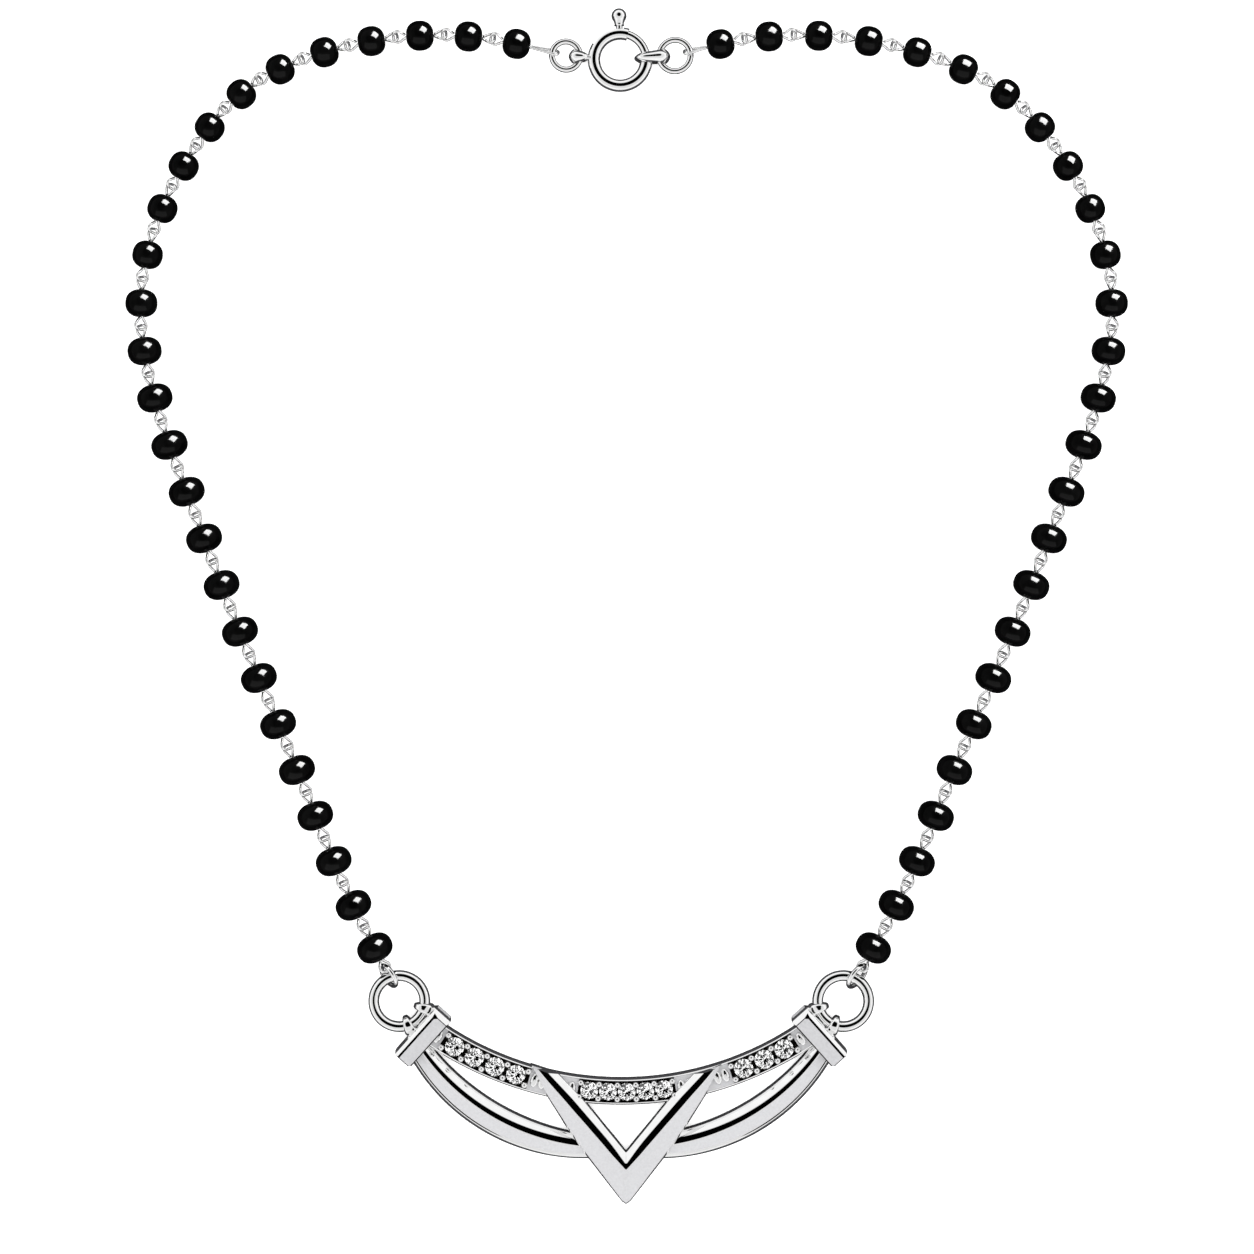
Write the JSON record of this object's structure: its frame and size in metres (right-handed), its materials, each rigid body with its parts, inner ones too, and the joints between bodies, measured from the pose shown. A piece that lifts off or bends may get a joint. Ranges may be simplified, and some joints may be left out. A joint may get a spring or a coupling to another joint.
{
  "type": "beaded necklace with a stone set pendant",
  "caption": "Mangalsutra of black beads on wire pins, with a spring ring clasp and a white metal pendant of a stone bar, a crescent and a chevron",
  "frame": {"origin": "centre of the bounding box's underside, where the necklace rests on a surface", "axes": "X to the right and Y up in the picture, from the pendant to the clasp, and Z up from the surface it lies on"},
  "size_m": [0.1252, 0.1494, 0.0046],
  "materials": {
    "silver": "polished",
    "black_bead": "glossy",
    "clear_stone": "polished"
  },
  "bodies": {
    "necklace": {"clasp_body": "silver", "clasp_tag": "silver", "jump_ring_left": "silver", "jump_ring_right": "silver", "beads_left": "black_bead", "beads_right": "black_bead", "pins_left": "silver", "pins_right": "silver", "end_link_left": "silver", "end_link_right": "silver", "pendant_ring_left": "silver", "pendant_ring_right": "silver", "pendant_frame": "silver", "stone_01": "clear_stone", "stone_02": "clear_stone", "stone_03": "clear_stone", "stone_04": "clear_stone", "stone_05": "clear_stone", "stone_06": "clear_stone", "stone_07": "clear_stone", "stone_08": "clear_stone", "stone_09": "clear_stone", "stone_10": "clear_stone", "stone_11": "clear_stone", "stone_12": "clear_stone"},
    "trigger": {"clasp_trigger": "silver"}
  },
  "joints": [
    {"name": "clasp_slide", "type": "hinge", "parent": "necklace", "child": "trigger", "pos_m": [-0.0008, 0.06828, 0.0014], "axis": [0, 0, 1], "range_deg": [0, 50], "stiffness_Nm_per_rad": 0.0008, "springref_deg": -20.05}
  ]
}
